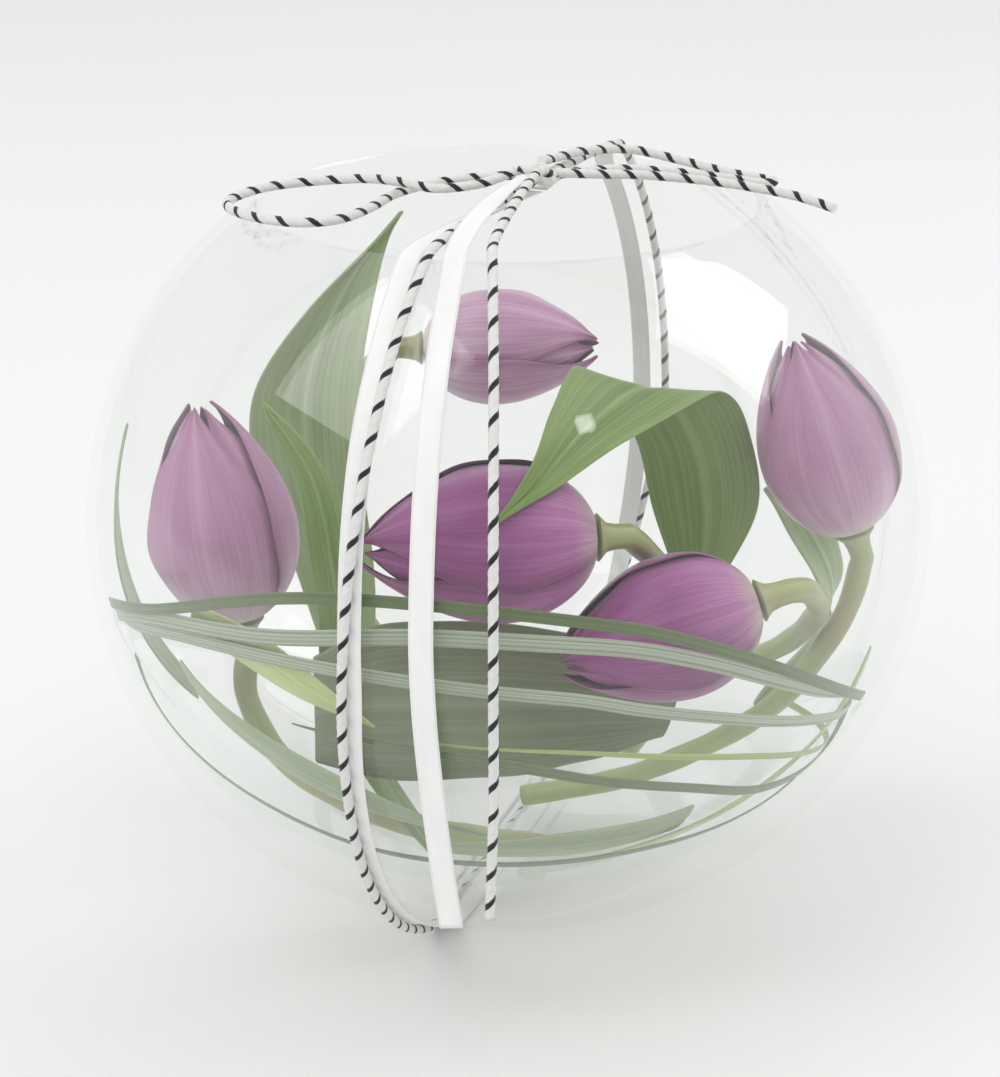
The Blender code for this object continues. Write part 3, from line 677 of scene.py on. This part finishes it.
def make_wall_strip(node, places, width_mm, inset_mm, share, shoulder, thickness, rows, columns,
                    wave, skin):
    """A blade or leaf along the inside of the glass, with a shallow keel and gently waving edges."""
    inset = inset_mm * 0.001
    route = smooth_route([wall_place(azimuth, height, inset) for azimuth, height in places], rows + 1)
    grid = []
    for i, centre in enumerate(route):
        tangent = route[min(i + 1, rows)] - route[max(i - 1, 0)]
        normal = centre - Vector((0.0, 0.0, BOWL_CENTRE_Z))
        across = normal.cross(tangent).normalized()
        half = 0.0005 * width_mm * share(i / rows, shoulder)
        row = []
        for j in range(columns + 1):
            v = 2.0 * j / columns - 1.0
            ripple = wave * (v ** 2 * math.sin(11.0 * i / rows + 2.0 * v) + 0.4 * math.cos(7.0 * v))
            row.append(on_wall(centre + across * half * v, inset + ripple))
        grid.append(row)
    piece = new_piece(node + "_skin", grid_mesh(node + "_skin", grid), skin, node)
    thicken(piece, thickness)


def make_free_leaf(node, stations, cup, skin):
    last = len(stations) - 1
    centres = [place for place, across, half in stations]
    directions = [Vector(across).normalized() for place, across, half in stations]
    halves = [half * 0.001 for place, across, half in stations]
    rows, columns = 44, 18
    grid = []
    for i in range(rows + 1):
        position = last * i / rows
        centre = blend(centres, position)
        across = blend(directions, position).normalized()
        ahead = blend(centres, min(position + 0.1, last)) - blend(centres, max(position - 0.1, 0))
        normal = across.cross(ahead).normalized()
        half = max(0.0002, blend(halves, position))
        row = []
        for j in range(columns + 1):
            side = 2.0 * j / columns - 1.0
            keel = LEAF_KEEL * math.exp(-(side / 0.12) ** 2)
            ripple = LEAF_RIPPLE * side ** 2 * math.sin(0.55 * i + 2.4 * side)
            row.append(centre + across * half * side + normal * (cup * half * side ** 2 + keel + ripple))
        grid.append(row)
    piece = new_piece(node + "_skin", grid_mesh(node + "_skin", grid), skin, node)
    thicken(piece, LEAF_THICKNESS)


def make_leaves():
    green = leaf_material("leaf_green", (0.105, 0.19, 0.022), (0.19, 0.29, 0.06), (0.30, 0.40, 0.14))
    soft = leaf_material("leaf_soft_green", (0.20, 0.29, 0.10), (0.34, 0.43, 0.22), (0.44, 0.52, 0.33))
    dull = leaf_material("leaf_dull_green", (0.14, 0.17, 0.08), (0.21, 0.25, 0.13), (0.28, 0.32, 0.20))
    bright = leaf_material("leaf_bright", (0.42, 0.52, 0.16), (0.56, 0.64, 0.30), (0.62, 0.70, 0.42))
    across_x = (1.0, 0.0, 0.0)
    make_free_leaf("leaf_thin_front_left", [
        (floor_place(-14, -36, 0.0012), (0.8, -0.5, 0.0), 2.5),
        (mm(-29, -43, 46), (0.8, -0.5, 0.0), 5.0),
        (mm(-36, -47.6, 72), (0.8, -0.5, 0.1), 5.5),
        (mm(-37, -54, 96), (0.8, -0.4, 0.1), 5.0),
        (mm(-41, -55, 122), (0.8, -0.4, 0.3), 4.2),
        (mm(-52, -50, 138), (0.7, -0.4, 0.5), 0.3),
    ], 0.25, green)
    make_free_leaf("leaf_wide_low", [
        (mm(-42, -63, 71), (0.0, 0.15, 1.0), 12.0),
        (mm(-26, -60, 71), (0.0, 0.15, 1.0), 18.0),
        (mm(0, -53, 68), (0.0, 0.15, 1.0), 18.0),
        (mm(22, -46, 64), (0.2, 0.15, 1.0), 14.0),
        (mm(38, -40, 59), (0.3, 0.15, 1.0), 6.0),
    ], 0.15, dull)
    make_free_leaf("leaf_curled", [
        (mm(44.4, -19.3, 79), across_x, 3.0),
        (mm(46, -17, 99), across_x, 12.0),
        (mm(42, -20, 119), (1.0, 0.1, -0.1), 14.0),
        (mm(31, -31, 135), (0.89, 0.35, -0.25), 18.0),
        (mm(17, -52, 133), (0.85, 0.1, -0.45), 9.0),
        (mm(7, -68, 127), (0.75, -0.1, -0.6), 3.5),
        (mm(-2, -77.5, 121.5), (0.7, -0.1, -0.7), 0.3),
    ], -0.1, green)
    make_free_leaf("leaf_back_left", [
        (floor_place(-38, 17, 0.0011), (0.4, 0.9, 0.0), 2.5),
        (mm(-44, 27, 66), across_x, 10.0),
        (mm(-50, 29, 92), across_x, 13.5),
        (mm(-50, 31, 116), (1.0, 0.1, 0.1), 13.5),
        (mm(-40, 33, 140), (0.9, 0.1, 0.4), 9.0),
        (mm(-26, 33, 159), (0.7, 0.1, 0.6), 0.4),
    ], 0.2, soft)
    make_free_leaf("leaf_under_right", [
        (floor_place(64, 18, 0.0014), (-0.27, 0.96, 0.0), 2.5),
        (mm(77, 14, 52), (0.0, 0.95, 0.2), 5.0),
        (mm(80, 8, 70), (0.3, 0.8, 0.4), 6.5),
        (mm(73, 5, 87), (0.7, 0.5, 0.5), 5.5),
        (mm(62, 4, 98), (0.7, 0.4, 0.6), 0.3),
    ], 0.2, soft)
    wall_leaves = (
        ("leaf_bottom_front", [(-12, 37), (0, 38), (16, 39), (33, 41)], 17.0, 5.3, cut_leaf_share, 0.5, soft),
        ("leaf_yellow_pointed", [(-46, 96), (-34, 92), (-25, 86), (-17, 80)], 9.0, 4.0, leaf_share, 0.4,
         bright),
        ("leaf_low_left", [(-66, 64), (-44, 53), (-24, 42), (-4, 31)], 17.0, 10.6, leaf_share, 0.5, soft),
        ("leaf_left_edge", [(-88, 44), (-85, 70), (-85, 96), (-88, 118)], 13.0, 4.2, leaf_share, 0.4, soft),
        ("leaf_low_right", [(16, 29), (36, 36), (58, 48), (80, 64)], 9.0, 4.0, leaf_share, 0.4, bright),
    )
    for node, places, width, inset, share, shoulder, skin in wall_leaves:
        make_wall_strip(node, places, width, inset, share, shoulder, WALL_LEAF_THICKNESS, 40, 14,
                        WALL_LEAF_WAVE, skin)


def make_grass():
    dark = leaf_material("grass_dark", (0.075, 0.12, 0.035), (0.13, 0.18, 0.06), (0.20, 0.26, 0.12), 0.4, 9.0)
    pale = leaf_material("grass_pale_ribbed", (0.22, 0.27, 0.17), (0.30, 0.35, 0.24), (0.52, 0.57, 0.47),
                         0.4, 8.0, 0.9)
    lime = leaf_material("grass_lime", (0.30, 0.38, 0.08), (0.42, 0.50, 0.16), (0.50, 0.58, 0.28), 0.4, 9.0)
    blades = (
        ("grass_blade_1", [(-108, 46), (-80, 76), (-50, 95), (-29, 107), (-10, 110), (11, 106), (24, 99),
                           (39, 86), (62, 65)], 2.6, 1.0, 1.0, dark),
        ("grass_blade_2", [(-84, 72), (-55, 90), (-30, 98), (-10, 103), (11, 101), (24, 95), (38, 84),
                           (58, 68)], 3.6, 1.9, 0.9, pale),
        ("grass_blade_3", [(-120, 40), (-85, 70), (-60, 84), (-42, 91), (-19, 93), (5, 90), (17, 85),
                           (32, 77), (54, 64), (84, 50)], 3.0, 2.8, 0.9, pale),
        ("grass_blade_4", [(80, 50), (64, 48), (43, 52), (26, 62), (12, 69), (-1, 75), (-14, 78),
                           (-28, 79)], 2.8, 1.0, 0.7, dark),
        ("grass_blade_5", [(100, 36), (78, 43), (55, 54), (33, 67), (11, 76), (-9, 79)], 1.8, 1.9, 0.6,
         lime),
        ("grass_blade_6", [(-80, 62), (-62, 54), (-42, 47), (-24, 41), (-4, 40), (20, 41), (42, 41),
                           (60, 42)], 2.6, 1.0, 0.8, dark),
    )
    for node, places, width, inset, shoulder, skin in blades:
        make_wall_strip(node, places, width, inset, grass_share, shoulder, GRASS_THICKNESS, 110, 6,
                        GRASS_WAVE, skin)


# ---- ribbon and twine ----------------------------------------------------------------------------

# Pairs of an angle up the glass, in degrees, and a sideways shift, in millimetres.
RIBBON_SIDEWAYS = [(54, 0.0), (30, 1.0), (10, 2.7), (0, 3.1), (-15, 1.8), (-40, 0.0), (-60, -0.6), (-75, 0.0),
                   (-120, 0.0), (-180, 3.5), (-234, 2.0)]
TWINE_SIDEWAYS = [(54, 4.6), (45, 3.8), (30, 3.5), (10, 2.4), (-15, 1.0), (-40, -0.8), (-62, -3.0),
                  (-66, -3.7), (-114, -3.7), (-130, -2.0), (-180, 10.0), (-234, 8.6)]


def wrap_place(angle, sideways_mm, lift, lowest):
    around = math.radians(WRAP_AZIMUTH)
    forward = Vector((math.sin(around), -math.cos(around), 0.0))
    sideways = Vector((math.cos(around), math.sin(around), 0.0))
    plain = outer_place(0.0, angle, lift)
    radius = -plain.y
    shift = sideways_mm * 0.001
    if abs(radius) > 0.03:
        radius = math.copysign(math.sqrt(radius ** 2 - shift ** 2), radius)
    point = forward * radius + sideways * shift
    point.z = max(plain.z, lowest)
    return point


def knot_side(x, y, z):
    direction = Vector((x, y, z)).normalized()
    squash = math.sqrt(sum((part / radius) ** 2 for part, radius in zip(direction, KNOT_RADII)))
    return mm(*KNOT_CENTRE) + direction * (0.001 / squash + 3 * GAP)


def make_ribbon(node, route, halves, skin):
    """A satin strip along the route, lying flat on what it passes over, with slightly raised woven edges."""
    grid = []
    last = len(route) - 1
    columns = 8
    normal = Vector((0.0, 0.0, 1.0))
    for i, centre in enumerate(route):
        tangent = (route[min(i + 1, last)] - route[max(i - 1, 0)]).normalized()
        normal = (normal - tangent * normal.dot(tangent)).normalized()
        across = normal.cross(tangent)
        row = []
        for j in range(columns + 1):
            v = 2.0 * j / columns - 1.0
            row.append(centre + across * halves[i] * v + normal * SELVAGE_LIFT * abs(v) ** 6)
        grid.append(row)
    piece = new_piece(node + "_satin", grid_mesh(node + "_satin", grid), skin, node)
    thicken(piece, SATIN_THICKNESS, 0)
    return piece


def make_ribbons():
    skin = satin_material()
    lift = GAP + RIBBON_THICKNESS / 2
    lowest = FLOOR_CLEARANCE + RIBBON_THICKNESS / 2
    loop = [wrap_place(angle, table_value(RIBBON_SIDEWAYS, angle), lift, lowest)
            for angle in range(53, -234, -6)]
    over_front = [mm(5.6, -1.0, 171.7), mm(-3.5, -18, 171.6), mm(-15.5, -42, 171.3), mm(-19.2, -53.0, 171.2)]
    over_back = [mm(22.8, 51.5, 171.2), mm(17.5, 40, 171.3), mm(11.5, 18, 171.6), mm(6.4, 1.0, 171.7)]
    route = smooth_route(over_front + loop + over_back, 380)
    make_ribbon("ribbon_wrap", route, [RIBBON_WIDTH / 2] * len(route), skin)

    tail = [mm(4.2, -4.6, 176.2), mm(-1.2, -20, 175.8), mm(-7.0, -40, 174.6), mm(-10.4, -53, 171.9)]
    tail += [outer_place(azimuth, angle, lift)
             for azimuth, angle in ((-10.6, 53), (-10.4, 40), (-10.2, 25), (-9.9, 9))]
    hanging = BOWL_RADIUS + lift
    tail += [Vector((side * 0.001, -hanging, z * 0.001))
             for side, z in ((-16.6, 90), (-15.4, 74), (-13.5, 56))]
    tail.append(Vector((-0.0115, -hanging, 0.040)))
    route = smooth_route(tail, 160)
    halves = [RIBBON_WIDTH / 2 * min(1.0, 0.5 + 0.025 * i) for i in range(len(route))]
    ribbon = make_ribbon("ribbon_tail", route, halves, skin)


def make_twine_cord(node, points, skin):
    """A three-strand twine along the points."""
    length = route_length(smooth_route(points, 100))
    route = smooth_route(points, max(60, int(length / TWINE_SPACING)))
    radii = [min(TWINE_RADIUS, point.z - FLOOR_CLEARANCE) for point in route]
    mesh = tube_mesh(node + "_cotton", route, radii, TWINE_SIDES, lobes=STRANDS)
    piece = new_piece(node + "_cotton", mesh, skin, node)


def make_knot(skin):
    """The tied knot, as an almost closed trefoil of twine where the wrap, loops and tails meet."""
    route = []
    count = 220
    for i in range(count + 1):
        turn = 2.0 * math.pi * i / count * 0.985
        x = (math.sin(turn) + 2.0 * math.sin(2.0 * turn)) / 3.0
        y = (math.cos(turn) - 2.0 * math.cos(2.0 * turn)) / 3.0
        z = -math.sin(3.0 * turn)
        route.append(mm(*KNOT_CENTRE) + mm(3.3 * x, 2.9 * y, 1.5 * z))
    radii = [TWINE_RADIUS] * len(route)
    mesh = tube_mesh("twine_knot_cotton", route, radii, TWINE_SIDES, lobes=STRANDS)
    new_piece("twine_knot_cotton", mesh, skin, "twine_knot")


def make_twine():
    skin = twine_material()
    make_knot(skin)
    lowest = FLOOR_CLEARANCE + TWINE_SQUASHED
    loop = [wrap_place(angle, table_value(TWINE_SIDEWAYS, angle), TWINE_LIFT, lowest)
            for angle in range(52, -233, -4)]
    over_front = [knot_side(-0.3, -0.9, -0.25), mm(-5.0, -28, 173.5), mm(-14.6, -52, 172.3)]
    over_back = [mm(26.6, 48.5, 172.3), mm(17.0, 26, 173.5), knot_side(0.4, 0.9, -0.25)]
    make_twine_cord("twine_wrap", over_front + loop + over_back, skin)

    tail = [knot_side(0.1, -0.9, 0.35), mm(2.5, -24, 176.0), mm(-2.8, -51, 172.9)]
    tail += [outer_place(azimuth, angle, TWINE_RADIUS + 1.6 * GAP)
             for azimuth, angle in ((-2.8, 52), (-2.0, 38), (-1.7, 22), (-1.6, 9))]
    hanging = BOWL_RADIUS + TWINE_RADIUS + GAP
    tail += [Vector((-0.0028, -hanging, z * 0.001)) for z in (90, 68)]
    tail.append(Vector((-0.0036, -hanging, 0.043)))
    make_twine_cord("twine_tail_front", tail, skin)

    make_twine_cord("twine_loop_left", [
        knot_side(-0.9, -0.35, 0.25), mm(-6, -8, 175.0), mm(-16, -11, 174.6), mm(-25, -4, 174.6),
        mm(-34, 4, 173.4), mm(-48, 6, 172.0), mm(-57, 1, 171.6), mm(-62.5, -9, 171.2),
        mm(-60, -19, 171.4), mm(-53, -27, 171.6), mm(-44, -31, 171.7), mm(-36, -28, 171.8),
        mm(-30, -17, 171.8), mm(-26, -6, 171.9), mm(-20, 2, 172.1),
        mm(-10, 5, 173.2), knot_side(-0.85, 0.5, -0.1),
    ], skin)
    make_twine_cord("twine_loop_right", [
        knot_side(0.35, 0.7, 0.6), mm(11, 11, 176.8), mm(19, 21, 176.4), mm(30, 31, 174.4), mm(41, 28, 172.6),
        mm(51, 19.5, 171.7), mm(59, 13, 171.5), mm(61.5, 10, 171.4), mm(58, 8.6, 171.5), mm(50, 12, 171.9),
        mm(38, 14, 172.8), mm(26, 12.5, 173.8), mm(16, 6, 174.6), knot_side(0.95, 0.3, -0.05),
    ], skin)
    make_twine_cord("twine_tail_right", [
        knot_side(0.9, -0.4, 0.2), mm(20, 2.5, 174.8), mm(31, 7.0, 173.6), mm(45, 7.0, 172.4),
        mm(57, 2.5, 171.6), mm(66, -3, 170.8), mm(73, -9, 169.6),
    ], skin)


# ---- studio --------------------------------------------------------------------------------------

def make_camera():
    camera = bpy.data.objects.new("camera", bpy.data.cameras.new("camera"))
    bpy.context.scene.collection.objects.link(camera)
    camera.location = CAMERA_PLACE
    camera.rotation_mode = "QUATERNION"
    camera.rotation_quaternion = Vector(CAMERA_FORWARD).to_track_quat("-Z", "Y")
    camera.data.lens = CAMERA_LENS
    camera.data.clip_start = 0.01
    bpy.context.scene.camera = camera


def make_floor():
    mesh = bpy.data.meshes.new("floor")
    shape = bmesh.new()
    bmesh.ops.create_grid(shape, x_segments=2, y_segments=2, size=FLOOR_HALF_SIDE)
    shape.to_mesh(mesh)
    shape.free()
    floor = bpy.data.objects.new("floor", mesh)
    bpy.context.scene.collection.objects.link(floor)
    mesh.materials.append(floor_material())


def make_light():
    world = bpy.data.worlds.new("studio")
    bpy.context.scene.world = world
    world.use_nodes = True
    background = world.node_tree.nodes["Background"]
    background.inputs["Color"].default_value = (1.0, 1.0, 1.0, 1.0)
    background.inputs["Strength"].default_value = WORLD_STRENGTH
    lamps = (
        ("key", (-0.9, -0.5, 1.5), 1.1, 7.0),
        ("fill", (1.2, 0.3, 1.3), 0.9, 4.5),
        ("window", (0.35, -0.7, 0.9), 0.08, 0.15),
    )
    for name, place, size, power in lamps:
        lamp = bpy.data.lights.new(name, "AREA")
        lamp.size = size
        lamp.energy = power
        item = bpy.data.objects.new(name, lamp)
        bpy.context.scene.collection.objects.link(item)
        item.location = place
        aim = Vector((0.0, 0.0, BOWL_CENTRE_Z)) - Vector(place)
        item.rotation_mode = "QUATERNION"
        item.rotation_quaternion = aim.to_track_quat("-Z", "Y")


bpy.context.scene.view_settings.view_transform = "Standard"
make_camera()
make_floor()
make_light()
make_bowl(glass_material())
make_tulips()
make_leaves()
make_grass()
make_ribbons()
make_twine()
